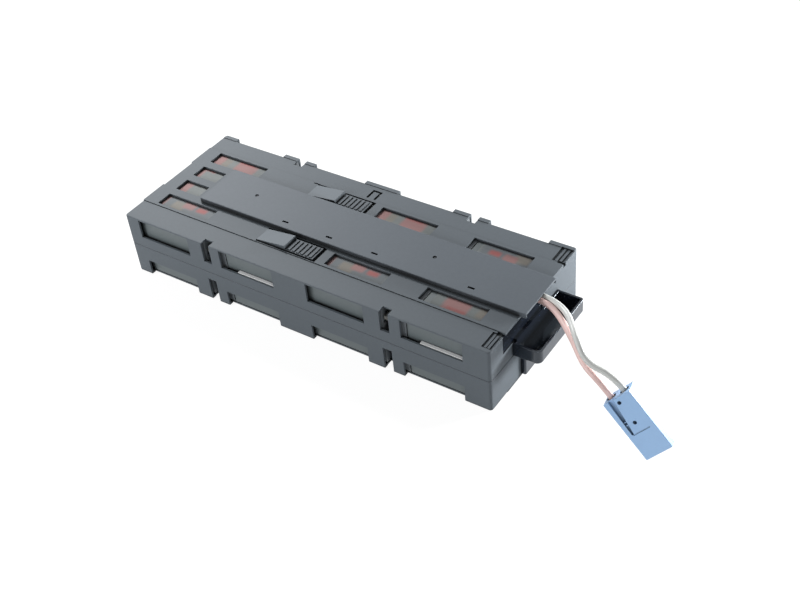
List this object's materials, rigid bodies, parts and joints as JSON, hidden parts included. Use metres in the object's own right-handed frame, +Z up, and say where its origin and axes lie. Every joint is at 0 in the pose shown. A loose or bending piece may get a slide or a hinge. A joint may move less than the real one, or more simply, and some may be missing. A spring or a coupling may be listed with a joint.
{
  "type": "ups battery cartridge",
  "caption": "Flat cartridge of sealed batteries in a slotted moulded tray, with leads under a raised top cover, a pull handle on one end wall and a plug connector on loose leads.",
  "frame": {"origin": "middle of the tray's underside, on the plane that the tray stands on", "axes": "+X along the tray to the end with the handle, +Y away from the side whose upper half has the tall windows, +Z up"},
  "size_m": [0.572, 0.158, 0.0811],
  "materials": {
    "tray_plastic": "fine moulded texture",
    "cover_plastic": "fine moulded texture",
    "handle_plastic": "polished",
    "battery_case": "satin",
    "battery_lid": "satin",
    "battery_label": "printed film",
    "tab": "tinned",
    "receptacle": "translucent nylon",
    "foam": "closed-cell foam",
    "red_insulation": "smooth",
    "grey_insulation": "smooth",
    "connector_plastic": "moulded",
    "contact": "silver plated"
  },
  "bodies": {
    "root": {"lower_shell": "tray_plastic", "upper_shell": "tray_plastic", "wiring_cover": "cover_plastic", "handle": "handle_plastic", "battery_1_case": "battery_case", "battery_1_lid": "battery_lid", "battery_1_label": "battery_label", "battery_1_negative_tab": "tab", "battery_1_negative_receptacle": "receptacle", "battery_1_positive_tab": "tab", "battery_1_positive_receptacle": "receptacle", "battery_2_case": "battery_case", "battery_2_lid": "battery_lid", "battery_2_label": "battery_label", "battery_2_negative_tab": "tab", "battery_2_negative_receptacle": "receptacle", "battery_2_positive_tab": "tab", "battery_2_positive_receptacle": "receptacle", "battery_3_case": "battery_case", "battery_3_lid": "battery_lid", "battery_3_label": "battery_label", "battery_3_negative_tab": "tab", "battery_3_negative_receptacle": "receptacle", "battery_3_positive_tab": "tab", "battery_3_positive_receptacle": "receptacle", "battery_4_case": "battery_case", "battery_4_lid": "battery_lid", "battery_4_label": "battery_label", "battery_4_negative_tab": "tab", "battery_4_negative_receptacle": "receptacle", "battery_4_positive_tab": "tab", "battery_4_positive_receptacle": "receptacle", "foam_strip_2": "foam", "foam_strip_4": "foam", "link_1_2": "grey_insulation", "link_3_4": "grey_insulation", "jumper_2_3": "grey_insulation", "negative_lead_inner": "grey_insulation", "negative_lead": "grey_insulation", "positive_lead_inner": "red_insulation", "positive_lead": "red_insulation", "connector_housing": "connector_plastic", "positive_contact": "contact", "negative_contact": "contact"}
  },
  "joints": []
}
